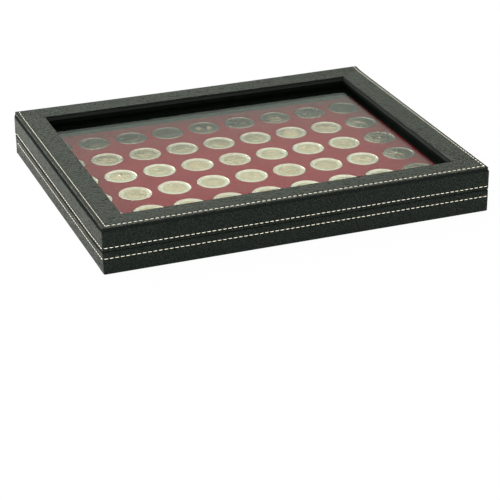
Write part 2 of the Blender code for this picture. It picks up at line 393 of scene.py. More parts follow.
def polish(mesh, material, angle):
    mesh.shade_smooth()
    mesh.set_sharp_from_angle(angle=radians(angle))
    mesh.materials.append(material)


def placeShape(shape, mesh, material, angle):
    # Writes an edited shape into its mesh and puts it in the scene
    bmesh.ops.recalc_face_normals(shape, faces=shape.faces)
    shape.to_mesh(mesh)
    shape.free()
    polish(mesh, material, angle)
    return addObject(mesh.name, mesh)


def addPiece(name, points, faces, material, angle=sharpAngle["sheet"], foldShades=None):
    # The fold shades are one value for each point, 1 where painted shade darkens the leatherette at bends,
    # pressed lines and grooves
    mesh = bpy.data.meshes.new(name)
    mesh.from_pydata([tuple(point) for point in points], [], faces)
    if foldShades is not None:
        mesh.attributes.new("fold", "FLOAT", "POINT").data.foreach_set("value", foldShades.ravel())
    shape = bmesh.new()
    shape.from_mesh(mesh)
    bmesh.ops.remove_doubles(shape, verts=shape.verts, dist=mergeDistance)
    bmesh.ops.dissolve_degenerate(shape, edges=shape.edges, dist=mergeDistance)
    return placeShape(shape, mesh, material, angle)


def after(loop):
    # The same loop, begun one point later
    return loop[1:] + loop[:1]


def sweepFaces(stationCount, pointCount, closedRun):
    # Quads between closed sections, with caps on the ends of an open run
    loops = np.arange(stationCount * pointCount).reshape(stationCount, pointCount).tolist()
    faces = [] if closedRun else [loops[0], loops[-1]]
    for first, second in zip(loops, after(loops) if closedRun else loops[1:]):
        faces += zip(first, after(first), after(second), second)
    return faces


def addSweep(name, stations, closedRun, foldShades=None):
    # Leatherette through closed sections, one after another
    faces = sweepFaces(*stations.shape[:2], closedRun)
    return addPiece(name, stations.reshape(-1, 3), faces, leatherette, foldShades=foldShades)


def arc(center, radius, start, end, steps=6):
    turns = np.radians(np.linspace(start, end, steps + 1))
    return [(center[0] + radius * cos(turn), center[1] + radius * sin(turn)) for turn in turns]


def bell(distance, width):
    return np.exp(-((distance / width) ** 2))


# The stitched leatherette skins

baseLow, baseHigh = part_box("base_side_cover")
lidLow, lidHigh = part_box("lid_side_cover")
topLow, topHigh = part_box("lid_top_cover")
halfWidth = lidHigh.x
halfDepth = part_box("base_back_cover")[1].y

stitch = {
    "pitch": 0.0041, "length": 0.0031, "thickness": 0.00044, "sides": 6, "rings": 7,
    "endShare": 0.25,  # of the thickness, where a loop dives in
    "arch": 0.9, "dive": 0.35, "bulge": 0.6, "wobble": 0.035,
    "seeds": {"lid": 4, "base": 9},
    "lidHeight": 0.0209, "baseHeight": 0.0126,
    "leftDrop": 0.0008,  # the side rows sit this much lower on the left
    "leftEnd": 0.006,  # and stop this much before the back
    "raise": 0.00012, "sinkShare": 0.45,
    "topInset": {"left": 0.0033, "front": 0.0039, "right": 0.0024},
    "furrowDepth": 0.00025, "furrowWidth": 0.00075,
    "furrowLevels": (0.0002, 0.00045, 0.0007, 0.0010, 0.0014),  # rings of the mesh beside a row
    "furrowReach": 0.0016, "pull": (0.62, 0.38),
}

skin = {
    "thickness": 0.0008, "turnIn": 0.0051, "cornerRadius": 0.0014, "cornerStations": 7,
    "coverCorners": (0.0018, 0.0004),  # front and back, in plan
    "foldRadius": 0.0007, "rollRadius": 0.0014, "footRadius": 0.00056, "topRadius": 0.0013,
    "grooveDrop": 0.0003,  # the lid's skin stops this much below its solid
    "rollShadeReach": 0.0016, "spacing": 0.00103, "levelSpacing": 0.0013,
    "levelEnds": (0.0006, 0.0004),
    "onFace": 0.0001,  # insets below this are on the outer face
    "onSide": 0.0002, "frontShadeInset": 0.0005, "furrowShade": 0.55,
    # how far the left walls stand out, as (height, amount)
    "leftSwell": [(0.0, -0.0002), (0.0115, 0.0005), (0.0179, 0.0006), (0.0181, 0.0010), (0.030, 0.0010),
                  (0.0345, 0.0009)],
    "swellRise": 0.03, "swellFall": 0.008,
    "swellShares": (0.4, 0.6, 0.3),  # in front, more behind it, less at the back
}


def leftSwell(height, y):
    # Least near the front corner, and less again at the back
    levels, amounts = zip(*skin["leftSwell"])
    least, more, less = skin["swellShares"]
    front = min(max((y + halfDepth) / skin["swellRise"], 0.0), 1.0)
    back = min(max((y - halfDepth + skin["swellFall"]) / skin["swellFall"], 0.0), 1.0)
    return np.interp(height, levels, amounts) * (least + more * front - less * back)


def furrowPull(along):
    # How hard the thread presses the sheet down along its row
    least, more = stitch["pull"]
    return least + more * np.cos(2 * pi * along / stitch["pitch"])


def sideSection(low, high, rowHeight, foldedUp):
    # Outline of a side skin as (inset, height)
    thick, turnIn = skin["thickness"], skin["turnIn"]
    topRadius = skin["topRadius" if foldedUp else "rollRadius"]
    footRadius = skin["footRadius" if foldedUp else "foldRadius"]
    topRound = arc((topRadius, high - topRadius), topRadius, 180, 90)
    footRound = arc((footRadius, low + footRadius), footRadius, 180, 270)
    lowEnd, highEnd = skin["levelEnds"]
    levels = np.arange(low + footRadius + lowEnd, high - topRadius - highEnd, skin["levelSpacing"])
    clear = [level for level in levels if abs(level - rowHeight) > stitch["furrowReach"]]
    near = [rowHeight + way * step for step in stitch["furrowLevels"] for way in (-1, 1)]
    heights = sorted([*clear, rowHeight, *near], reverse=True)
    outer = [*reversed(topRound), *[(0.0, height) for height in heights], *footRound]
    if foldedUp:
        return outer + [(thick, low), (thick, high - thick), (turnIn, high - thick), (turnIn, high)]
    return outer + [(turnIn, low), (turnIn, low + thick), (thick, low + thick), (thick, high)]


def wrapStations(section, backY, rowHeight):
    # Sections round the left, the front and the right, with the stitches' furrow
    radius = skin["cornerRadius"]
    inset, height = np.array(section).T
    onFace = inset < skin["onFace"]
    reach = np.maximum(radius - inset, 0)
    stepIn = np.maximum(inset, radius)
    kept = 1 - inset / skin["turnIn"]
    stations = []

    def furrow(along, drop=0.0):
        line = bell(height - rowHeight + drop, stitch["furrowWidth"])
        return np.where(onFace, stitch["furrowDepth"] * furrowPull(along) * line, 0)

    steps = int((backY + halfDepth) / skin["spacing"])
    sideRun = np.linspace(backY, radius - halfDepth, steps)
    for side in (-1, 1):
        left = side < 0
        run = []
        for y in sideRun:
            pressed = furrow(sideRun[-1] - y, left * stitch["leftDrop"])
            x = side * (halfWidth - inset - pressed + left * leftSwell(height, y) * kept)
            run.append(np.stack([x, np.maximum(y, inset - halfDepth), height], 1))
        swell = left * leftSwell(height, -halfDepth) * kept
        for turn in np.linspace(0, pi / 2, skin["cornerStations"]):
            x = side * (halfWidth - stepIn + (reach + swell) * cos(turn))
            y = stepIn - halfDepth - reach * sin(turn)
            run.append(np.stack([x, y, height], 1))
        stations += run if left else run[::-1]
        if left:
            limit = halfWidth - inset
            steps = int(2 * halfWidth / skin["spacing"])
            for x in np.linspace(radius - halfWidth, halfWidth - radius, steps)[1:-1]:
                y = inset + furrow(x + halfWidth - radius) - halfDepth
                stations.append(np.stack([np.clip(x, -limit, limit), y, height], 1))
    return np.array(stations)


def makeSideSkin(name, node, body, rowHeight, foldedUp):
    low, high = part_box(node)
    top = high.z if foldedUp else high.z - skin["grooveDrop"]
    section = sideSection(low.z, top, rowHeight, foldedUp)
    stations = wrapStations(section, high.y, rowHeight)
    inset, height = np.array(section).T
    # Painted shade: the rolls, the turn-ins, a band just below each skin's top edge and the stitch furrows
    # are marked to be darkened
    onSide = np.abs(stations[:, :, 0]).max(1) > halfWidth - skin["onSide"]
    shadedSide = (inset > skin["onFace"]) | (height > high.z - skin["rollShadeReach"])
    shaded = np.where(onSide[:, None], shadedSide[None, :], inset[None, :] > skin["frontShadeInset"])
    pressed = skin["furrowShade"] * bell(height - rowHeight, stitch["furrowWidth"])
    foldShades = np.where(shaded, 1.0, pressed[None, :])
    piece = addSweep(name, stations, False, foldShades)
    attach(piece, body)
    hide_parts(node)


makeSideSkin("lidSideSkin", "lid_side_cover", "lid", stitch["lidHeight"], False)
makeSideSkin("baseSideSkin", "base_side_cover", "base", stitch["baseHeight"], True)

topSkin = {
    "rim": 0.0010, "edge": 0.0010,
    "edges": {(0, 1): 0.0005, (0, 0): 0.0010, (1, 0): 0.0010, (1, 1): 0.0005},  # roll at each corner
    "crown": 0.00018,
    "crownSink": 0.3,  # share of the crown that the stitches sink with
    "border": (0.32, 0.0, 1.0),  # painted shade outside the stitches, left, front and right
    "borderShadeStart": 0.0002, "shadeBelow": 0.0007, "outerShade": 0.35, "furrowShade": 0.6,
    "furrowOverrun": 0.0004,
    "backLift": (0.0003, 0.0006, 0.008),  # in the middle, how much more at the corners, and reach
    "liftStart": 0.0001, "flat": 0.00001, "spacing": 0.00102, "across": 44,
}


def backLift(x, y):
    # The back of the cover stands up a little, most at its corners
    middle, more, reach = topSkin["backLift"]
    return (middle + more * (x / topHigh.x) ** 2) * bell(topHigh.y - y, reach)


def topStitchLines():
    # Runs of the upper row, in the order left, front, right
    left = topLow.x + stitch["topInset"]["left"]
    right = topHigh.x - stitch["topInset"]["right"]
    front = topLow.y + stitch["topInset"]["front"]
    back = topHigh.y
    corners = [(left, back), (left, front), (right, front), (right, back)]
    return list(zip(corners, corners[1:]))


def windowSides():
    # The opening in the cover, as its lowest and highest x and y
    places = np.array([vertex.co[:2] for vertex in frame["nodes"]["lid_top_cover"].data.vertices])
    low = places.max(0, initial=-1, where=places < 0)
    return np.array([low, places.min(0, initial=1, where=places > 0)])


def topSection(edge, rail):
    # Share across the rail and height, for an outer edge rolled with a radius
    high, rim = topHigh.z, topSkin["rim"]
    outerRound = arc((edge, high - edge), edge, 180, 90)
    innerRound = arc((rail - rim, high - rim), rim, 90, 0)
    across = np.linspace(edge, rail - rim, topSkin["across"])[1:-1]
    line = [*outerRound, *[(spot, high) for spot in across], *innerRound]
    return np.array([(0, topLow.z), *line, (rail, topLow.z)]) / (rail, 1.0)


def topStations(outer, inner, rail):
    # Sections round the window, from corner to corner
    corners = [(0, 1), (0, 0), (1, 0), (1, 1)]
    stations = []

    def at(box, corner):
        return np.array([box[corner[0], 0], box[corner[1], 1]])

    for start, end in zip(corners, after(corners)):
        steps = int(np.abs(at(outer, end) - at(outer, start)).sum() / topSkin["spacing"])
        for part in np.arange(steps) / steps:
            outside, inside = [at(box, start) * (1 - part) + at(box, end) * part for box in (outer, inner)]
            edge = topSkin["edges"][start] * (1 - part) + topSkin["edges"][end] * part
            spots = topSection(edge, rail)
            flat = outside[None, :] * (1 - spots[:, :1]) + inside[None, :] * spots[:, :1]
            stations.append(np.column_stack([flat, spots[:, 1]]))
    return np.array(stations)


def roundCorners(places, outer):
    # Rounds the outer corners in plan
    middle, half = outer.mean(0), (outer[1] - outer[0]) / 2
    plan = places - middle
    radius = np.where(plan[..., 1:] < 0, *skin["coverCorners"])
    over = (np.abs(plan) - (half - radius)) / radius
    inCorner = (over > 0).all(-1)
    u, v = over[..., 0].clip(0, 1), over[..., 1].clip(0, 1)
    rounded = np.stack([u * np.sqrt(1 - v * v / 2), v * np.sqrt(1 - u * u / 2)], -1)
    moved = middle + np.sign(plan) * (half - radius + rounded * radius)
    return np.where(inCorner[..., None], moved, places)


def pressTop(points, share, height):
    # Presses the stitches' furrow and lets the sheet swell behind it; gives the painted shade on the
    # rolled edges, the furrows and the border outside the stitches
    flatTop = height > topHigh.z - topSkin["flat"]
    swell = topSkin["crown"] * np.sin(np.pi * np.clip(share, 0, 1)) ** 0.5
    points[..., 2] += np.where(flatTop, swell - topSkin["crown"], 0)[None, :]
    x, y = points[..., 0], points[..., 1]
    foldShades = np.zeros(x.shape)
    below = height < topHigh.z - topSkin["shadeBelow"]
    foldShades[:, below & (share > 0.5)] = 1.0
    foldShades[:, below & (share < 0.5)] = topSkin["outerShade"]
    overrun = topSkin["furrowOverrun"]
    for ((fromX, fromY), (toX, toY)), shaded in zip(topStitchLines(), topSkin["border"]):
        length = hypot(toX - fromX, toY - fromY)
        dirX, dirY = (toX - fromX) / length, (toY - fromY) / length
        along = (x - fromX) * dirX + (y - fromY) * dirY
        aside = (x - fromX) * dirY - (y - fromY) * dirX
        inside = (along > -overrun) & (along < length + overrun)
        line = bell(aside, stitch["furrowWidth"])
        press = stitch["furrowDepth"] * furrowPull(along) * line
        points[..., 2] -= np.where(inside & flatTop[None, :], press, 0)
        foldShades = np.maximum(foldShades, topSkin["furrowShade"] * line * inside)
        foldShades = np.maximum(foldShades, shaded * (aside > topSkin["borderShadeStart"]))
    points[..., 2] += backLift(x, y) * (height > topLow.z + topSkin["liftStart"])
    return foldShades


def makeTopSkin():
    # A ring over the lid with a rolled edge outside and a rim round the window
    outer = np.array([[topLow.x, topLow.y], [topHigh.x, topHigh.y]])
    inner = windowSides()
    rail = outer[1, 0] - inner[1, 0]
    share, height = topSection(topSkin["edge"], rail).T
    points = topStations(outer, inner, rail)
    points[..., :2] = roundCorners(points[..., :2], outer)
    foldShades = pressTop(points, share, height)
    piece = addSweep("lidTopSkin", points, True, foldShades)
    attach(piece, "lid")
    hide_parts("lid_top_cover")


makeTopSkin()

spine = {
    "foldHeight": 0.0181, "foldReach": 0.0019, "creaseDepth": 0.00035,
    "creaseWidth": 0.0008,
    "topGap": 0.0001,  # under the cover
    "spacing": 0.006, "fineReach": 0.003, "fineSpacing": 0.0003, "coarseReach": 0.0036,
    "coarseSpacing": 0.0015, "coarseEnds": (0.0018, 0.0012),
}


def makeSpine():
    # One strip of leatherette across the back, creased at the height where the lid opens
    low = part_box("base_back_cover")[0].z
    high = topLow.z - spine["topGap"]
    thick, radius, fold = skin["thickness"], skin["foldRadius"], spine["foldHeight"]
    top = arc((radius, high - radius), radius, 90, 180, 4)
    foot = arc((radius, low + radius), radius, 180, 270, 3)
    step = spine["fineSpacing"]
    fine = fold + np.arange(-spine["fineReach"], spine["fineReach"] + step / 3, step)
    lowEnd, highEnd = spine["coarseEnds"]
    coarse = np.arange(low + lowEnd, high - highEnd, spine["coarseSpacing"])
    coarse = coarse[np.abs(coarse - fold) > spine["coarseReach"]]
    heights = sorted([*fine, *coarse], reverse=True)
    face = [(spine["creaseDepth"] * bell(level - fold, spine["creaseWidth"]), level) for level in heights]
    inside = [(thick, level) for level in reversed(heights)]
    section = [*top, *face, *foot, (thick, low), *inside, (thick, high)]
    count = int(2 * halfWidth / spine["spacing"])
    stations = [[(x, halfDepth - inset, level) for inset, level in section]
                for x in np.linspace(-halfWidth, halfWidth, count)]
    piece = addSweep("spineSkin", np.array(stations), False)
    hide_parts("base_back_cover", "lid_back_cover")
    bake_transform(piece)


makeSpine()
print("leatherette skins made")


class Layout:
    # A geometry node tree with named inputs, whose result becomes one plain mesh
    def __init__(self, name):
        self.tree = bpy.data.node_groups.new(name, "GeometryNodeTree")
        self.sizes = {}
        for way in ("INPUT", "OUTPUT"):
            self.tree.interface.new_socket("Geometry", in_out=way, socket_type="NodeSocketGeometry")
        self.entry = self.tree.nodes.new("NodeGroupInput")
        self.exit = self.tree.nodes.new("NodeGroupOutput")

    def size(self, name, kind="NodeSocketFloat"):
        socket = self.tree.interface.new_socket(name, in_out="INPUT", socket_type=kind)
        self.sizes[name] = socket.identifier
        return self.entry.outputs[name]

    def add(self, kind, values={}, output=0, **settings):
        return addNode(self.tree, kind, settings, values).outputs[output]

    def negative(self, value):
        return self.add("ShaderNodeMath", {0: value, 1: -1.0}, operation="MULTIPLY")

    def random(self, kind, low, high, seed):
        first, output = {"FLOAT_VECTOR": (0, 0), "FLOAT": (2, 1), "INT": (4, 2)}[kind]
        values = {first: low, first + 1: high, "Seed": seed}
        return self.add("FunctionNodeRandomValue", values, output, data_type=kind)

    def rotate(self, placed, angle):
        return self.add("GeometryNodeRotateInstances", {"Instances": placed, "Rotation": angle})

    def close(self, geometry, material):
        solid = self.add("GeometryNodeRealizeInstances", {"Geometry": geometry})
        colored = self.add("GeometryNodeSetMaterial", {"Geometry": solid, "Material": material})
        self.tree.links.new(colored, self.exit.inputs[0])

    def apply(self, host, sizes):
        # Replaces the host's mesh with the tree's result
        modifier = host.modifiers.new("layout", "NODES")
        modifier.node_group = self.tree
        for name, value in sizes.items():
            modifier[self.sizes[name]] = value
        graph = bpy.context.evaluated_depsgraph_get()
        result = host.evaluated_get(graph)
        made = bpy.data.meshes.new_from_object(result, preserve_all_data_layers=True, depsgraph=graph)
        made.name = host.name
        host.modifiers.remove(modifier)
        host.data = made


# Stitches

def makeStitchShape():
    # One thread loop: a short arched bar along X that dives in at both ends
    sides, rings, thin = stitch["sides"], stitch["rings"], stitch["endShare"]
    radius = stitch["thickness"] / 2
    points = []
    for part in np.linspace(0, 1, rings):
        ahead = (part - 0.5) * stitch["length"]
        bulge = max(sin(pi * part), 0.0) ** stitch["bulge"]
        size = radius * (thin + (1 - thin) * bulge)
        lift = radius * (stitch["arch"] * bulge - stitch["dive"])
        for side in range(sides):
            turn = 2 * pi * side / sides
            points.append((ahead, size * cos(turn), lift + size * sin(turn)))
    return addPiece("threadLoop", points, sweepFaces(rings, sides, False), thread, sharpAngle["thread"])


def stitchLayout(loop):
    layout = Layout("stitchRow")
    pitch = layout.size("Pitch")
    wobble = layout.size("Wobble")
    seed = layout.size("Seed", "NodeSocketInt")
    row = layout.add("GeometryNodeMeshToCurve", {"Mesh": layout.entry.outputs["Geometry"]})
    spots = layout.add("GeometryNodeCurveToPoints", {"Curve": row, "Length": pitch}, mode="LENGTH")
    values = {"Name": "facing"}
    facing = layout.add("GeometryNodeInputNamedAttribute", values, "Attribute", data_type="FLOAT_VECTOR")
    values = {"Vector": spots.node.outputs["Tangent"]}
    ahead = layout.add("FunctionNodeAlignRotationToVector", values, axis="X")
    values = {"Rotation": ahead, "Vector": facing}
    upright = layout.add("FunctionNodeAlignRotationToVector", values, axis="Z", pivot_axis="X")
    stock = layout.add("GeometryNodeObjectInfo", {"Object": loop}, "Geometry")
    values = {"Points": spots, "Instance": stock, "Rotation": upright}
    placed = layout.add("GeometryNodeInstanceOnPoints", values)
    angle = layout.random("FLOAT", layout.negative(wobble), wobble, seed)
    turn = layout.add("ShaderNodeCombineXYZ", {"Z": angle})
    layout.close(layout.rotate(placed, turn), thread)
    return layout


def stitchRow(name, body, runs, layout):
    # Each run is a start, an end and the way that its face looks
    pitch = stitch["pitch"]
    points, edges, facing = [], [], []
    for start, end, look in runs:
        start, end = Vector(start), Vector(end)
        length = (end - start).length
        along = (end - start) / length
        count = max(round(length / pitch), 1)
        edges.append((len(points), len(points) + 1))
        # The row stops just past the middle of its last stitch
        points += [start + along * pitch / 2, start + along * pitch * (count - 0.45)]
        facing += [look, look]
    mesh = bpy.data.meshes.new(name)
    mesh.from_pydata([tuple(point) for point in points], edges, [])
    attribute = mesh.attributes.new("facing", "FLOAT_VECTOR", "POINT")
    attribute.data.foreach_set("vector", [value for look in facing for value in look])
    row = addObject(name, mesh)
    layout.apply(row, {"Pitch": pitch, "Wobble": stitch["wobble"], "Seed": stitch["seeds"][body]})
    row.data.shade_smooth()
    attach(row, body)


def sideRuns(height, backY):
    # Rows on the left, front and right faces at a height
    sink = stitch["furrowDepth"] * stitch["sinkShare"] - stitch["raise"]
    x, y = halfWidth - sink, sink - halfDepth
    start = skin["cornerRadius"] - halfDepth
    low = height - stitch["leftDrop"]
    spots = (start, skin["swellRise"] - halfDepth, backY - stitch["leftEnd"])
    left = [(-x - float(leftSwell(low, spot)), spot, low) for spot in spots]
    return [
        (left[0], left[1], (-1, 0, 0)),
        (left[1], left[2], (-1, 0, 0)),
        ((-halfWidth, y, height), (halfWidth, y, height), (0, -1, 0)),
        ((x, start, height), (x, backY, height), (1, 0, 0)),
    ]


def topRuns():
    sink = stitch["furrowDepth"] * stitch["sinkShare"] + topSkin["crown"] * topSkin["crownSink"]
    level = topHigh.z - sink
    left, front, right = topStitchLines()
    runs = [((*front[0], level), (*front[1], level), (0, 0, 1))]
    for (x, back), (_, end) in (left, right[::-1]):
        # One stitch at a time where the cover rises, then the rest
        spots = [back - stitch["pitch"] * step for step in range(5)] + [end]
        places = [(x, y, level + float(backLift(x, y))) for y in spots]
        runs += [(first, second, (0, 0, 1)) for first, second in zip(places, places[1:])]
    return runs


threadLoop = makeStitchShape()
stitchTree = stitchLayout(threadLoop)
stitchRow("lidStitches", "lid", sideRuns(stitch["lidHeight"], lidHigh.y) + topRuns(), stitchTree)
stitchRow("baseStitches", "base", sideRuns(stitch["baseHeight"], baseHigh.y), stitchTree)
bpy.data.objects.remove(threadLoop)
print("stitches made")


# The flocked tray

trayLow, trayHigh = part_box("coin_tray")

tray = {
    "columns": 9, "rows": 6, "pitch": (0.0321333, 0.0367333), "recessRadius": 0.013175,
    "recessFloor": 0.0083, "lip": 0.0006,
    "corner": 0.0005,  # between the recess's wall and floor
    "cornerCut": 0.00015, "floorShares": (0.66, 0.33), "edge": 0.0008, "slices": 48,
    "closeEnough": 0.000001,
}


def coinCenter(row, column):
    places = zip((column, row), (tray["columns"], tray["rows"]), tray["pitch"])
    return [(place - (count - 1) / 2) * pitch for place, count, pitch in places]


def trayCell():
    # One cell of the tray's face, with a round recess
    slices, radius, lip, corner = tray["slices"], tray["recessRadius"], tray["lip"], tray["corner"]
    high, floor, cut = trayHigh.z, tray["recessFloor"], tray["cornerCut"]
    quarter = np.linspace(0, pi / 2, 5)
    rings = [(radius + lip * (1 - sin(t)), high - lip * (1 - cos(t))) for t in quarter]
    rings += [(radius, floor + corner), (radius - cut, floor + cut), (radius - corner, floor)]
    rings += [(radius * share, floor) for share in tray["floorShares"]]
    halfX, halfY = tray["pitch"][0] / 2, tray["pitch"][1] / 2
    turns = [2 * pi * (step + 0.5) / slices for step in range(slices)]
    spokes = [(cos(turn), sin(turn)) for turn in turns]
    # each spoke starts on the cell's border
    reaches = [min(halfX / abs(u), halfY / abs(v)) for u, v in spokes]
    points = [(reach * u, reach * v, high) for reach, (u, v) in zip(reaches, spokes)]
    points += [(size * u, size * v, level) for size, level in rings for u, v in spokes]
    loops = np.arange(len(points)).reshape(-1, slices).tolist()
    faces = []
    for outer, inner in zip(loops, loops[1:]):
        faces += zip(outer, after(outer), after(inner), inner)
    faces.append(loops[-1])
    # corner tiles between the spokes beside each corner of the cell
    for sideX, sideY in ((1, 1), (-1, 1), (-1, -1), (1, -1)):
        angle = atan2(sideY * halfY, sideX * halfX) % (2 * pi)
        before = max(i for i in range(-1, slices) if i < 0 or turns[i] <= angle)
        faces.append((before % slices, len(points), (before + 1) % slices))
        points.append((sideX * halfX, sideY * halfY, high))
    return points, faces


def trayFace():
    cell, tiles = trayCell()
    points, faces = [], []
    for row in range(tray["rows"]):
        for column in range(tray["columns"]):
            middleX, middleY = coinCenter(row, column)
            faces += [[len(points) + corner for corner in tile] for tile in tiles]
            points += [(middleX + x, middleY + y, z) for x, y, z in cell]
    return points, faces


def growBorder(shape, border, change):
    # Grows the open border by one row of faces, whose new points are changed
    grown = bmesh.ops.extrude_edge_only(shape, edges=border)["geom"]
    for vert in grown:
        if isinstance(vert, bmesh.types.BMVert):
            change(vert.co)
    return [edge for edge in grown if isinstance(edge, bmesh.types.BMEdge)]


def makeTray():
    mesh = bpy.data.meshes.new("flockedTray")
    points, faces = trayFace()
    mesh.from_pydata(points, [], faces)
    shape = bmesh.new()
    shape.from_mesh(mesh)
    bmesh.ops.remove_doubles(shape, verts=shape.verts, dist=mergeDistance)
    edge = tray["edge"]
    grid = (tray["columns"] / 2 * tray["pitch"][0], tray["rows"] / 2 * tray["pitch"][1])
    flat = (trayHigh.x - edge, trayHigh.y - edge)

    def widen(place):
        # From the border of the grid to where the edge starts to roll
        for axis in (0, 1):
            if abs(abs(place[axis]) - grid[axis]) < tray["closeEnough"]:
                place[axis] = copysign(flat[axis], place[axis])
            else:
                place[axis] *= flat[axis] / grid[axis]

    border = growBorder(shape, [e for e in shape.edges if e.is_boundary], widen)
    turns = np.linspace(0, pi / 2, 5)[1:]
    levels = [(edge * sin(turn), edge * (cos(turn) - 1)) for turn in turns]
    levels += [(edge, trayLow.z - trayHigh.z)]
    before = 0.0
    for out, drop in levels:

        def roll(place):
            for axis in (0, 1):
                if abs(abs(place[axis]) - flat[axis] - before) < tray["closeEnough"]:
                    place[axis] = copysign(flat[axis] + out, place[axis])
            place.z = trayHigh.z + drop

        border = growBorder(shape, border, roll)
        before = out
    bmesh.ops.edgeloop_fill(shape, edges=border)
    piece = placeShape(shape, mesh, flock, sharpAngle["round"])
    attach(piece, "tray")
    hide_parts("coin_tray")


makeTray()
print("tray made")


# Coins

coin = {
    "radius": 0.01295, "thickness": 0.0026, "rimShare": 0.94, "fieldDrop": 0.00042,
    "relief": 0.00038,
    "slope": (-0.03, -0.02, -0.01, 0.0, 0.01, 0.025),  # rings of the mesh beside the rim
    "bevel": 0.00012, "bevelShare": 0.985, "jointDepth": 0.00008, "jointWidth": 0.012,
    "rise": 0.00006,  # above the recess's floor
    "tilt": 0.004, "rings": 34, "slices": 96, "firstSeed": 31,
}


def soft(value):
    return 1 / (1 + np.exp(-value))


def blob(x, y, atX, atY, sizeX, sizeY, turn=0.0):
    ahead, aside = cos(turn), sin(turn)
    u = ((x - atX) * ahead + (y - atY) * aside) / sizeX
    v = ((y - atY) * ahead - (x - atX) * aside) / sizeY
    return np.exp(-(u * u + v * v))


def beads(x, y, count, size, at=0.83):
    made = 0
    for index in range(count):
        turn = 2 * pi * index / count
        made = made + blob(x, y, at * cos(turn), at * sin(turn), size, size)
    return made


def motifFlower(x, y, r, a):
    petals = soft((0.50 + 0.10 * np.cos(8 * a) - r) * 30) * (0.55 + 0.45 * np.cos(8 * a))
    return petals + blob(x, y, 0, 0, 0.13, 0.13) + beads(x, y, 24, 0.028)


def motifWreath(x, y, r, a):
    made = blob(x, y, 0, 0, 0.16, 0.16) * (0.6 + 0.4 * np.cos(5 * a))
    for index in range(20):
        turn = 2 * pi * index / 20
        at = 0.47 + 0.05 * (index % 2)
        made = made + blob(x, y, at * cos(turn), at * sin(turn), 0.10, 0.04, turn + 0.9)
    return made + beads(x, y, 36, 0.02)


def motifSun(x, y, r, a):
    rays = np.maximum(np.cos(14 * a), 0) * soft((r - 0.24) * 50) * soft((0.62 - r) * 40)
    return rays + soft((0.21 - r) * 50) + 0.7 * beads(x, y, 14, 0.04)


def motifTree(x, y, r, a):
    crown = ((0, 0.34, 0.14), (-0.2, 0.2, 0.13), (0.2, 0.2, 0.13), (-0.28, 0.0, 0.11), (0.28, 0.0, 0.11),
             (0, 0.1, 0.13))
    made = blob(x, y, 0, -0.28, 0.05, 0.26) + blob(x, y, 0, -0.5, 0.34, 0.035)
    for atX, atY, size in crown:
        made = made + blob(x, y, atX, atY, size, size * 0.8)
    return made + beads(x, y, 28, 0.024)


def motifShip(x, y, r, a):
    hull = soft((0.34 - np.abs(x) + 0.5 * (y + 0.3)) * 40)
    hull = hull * soft((-0.18 - y) * 60) * soft((y + 0.36) * 60)
    sail = soft((0.28 - np.abs(x + 0.16) - 0.5 * np.maximum(y, -0.1)) * 40)
    sail = sail * soft((y + 0.1) * 50) * soft((0.45 - y) * 40)
    smallSail = blob(x, y, 0.2, 0.1, 0.12, 0.2)
    waves = 0.5 * np.maximum(np.cos(24 * x + 2), 0) * bell(y + 0.47, 0.05)
    return hull + 0.7 * sail + 0.7 * smallSail + waves + beads(x, y, 32, 0.022)


def motifKnot(x, y, r, a):
    made = 0
    for index in range(6):
        turn = 2 * pi * index / 6
        far = np.hypot(x - 0.28 * cos(turn), y - 0.28 * sin(turn))
        made = np.maximum(made, bell(far - 0.28, 0.035))
    return made + beads(x, y, 18, 0.035)


motifs = [motifFlower, motifWreath, motifSun, motifTree, motifShip, motifKnot]


def makeCoinShape(index, motif, group):
    # Disc with a raised rim, a two-part face and a motif in relief
    radius, rim, slices, bevel = coin["radius"], coin["rimShare"], coin["slices"], coin["bevel"]
    inner = list(np.linspace(0, rim - 0.04, coin["rings"]))[1:]
    shares = inner + [rim + step for step in coin["slope"]] + [coin["bevelShare"], 1.0]
    turns = [2 * pi * step / slices for step in range(slices)]

    def circle(share, level):
        size = share * radius
        return [(size * cos(turn), size * sin(turn), level) for turn in turns]

    points = np.array([(0, 0, 0)] + [point for share in shares for point in circle(share, 0)])
    x, y = points[:, 0] / radius, points[:, 1] / radius
    r, a = np.hypot(x, y), np.arctan2(y, x)
    field = soft((rim - 0.012 - r) * 130)
    joint = bell(r - coinLook["centerShare"], coin["jointWidth"])
    level = coin["thickness"] - field * coin["fieldDrop"]
    level += field * coin["relief"] * np.clip(motif(x, y, r, a), 0, 1.15) * soft((0.92 - r) * 60)
    level -= joint * coin["jointDepth"]
    level -= np.where(r > 0.99, bevel, 0)
    points[:, 2] = level
    # the face, then the upright edge and the underside
    points = [tuple(point) for point in points] + circle(1.0, bevel) + circle(coin["bevelShare"], 0.0)
    shares = shares + [1.0, coin["bevelShare"]]
    loops = (1 + np.arange(len(shares) * slices)).reshape(-1, slices).tolist()
    faces = [(0, *pair) for pair in zip(loops[0], after(loops[0]))]
    for first, second in zip(loops, loops[1:]):
        faces += zip(first, second, after(second), after(first))
    faces.append(loops[-1][::-1])
    mesh = bpy.data.meshes.new(f"coinShape{index}")
    mesh.from_pydata(points, [], faces)
    attribute = mesh.attributes.new("spot", "FLOAT", "POINT")
    attribute.data.foreach_set("value", [0.0] + [share for share in shares for _ in turns])
    polish(mesh, coinMetal, sharpAngle["round"])
    group.objects.link(bpy.data.objects.new(mesh.name, mesh))


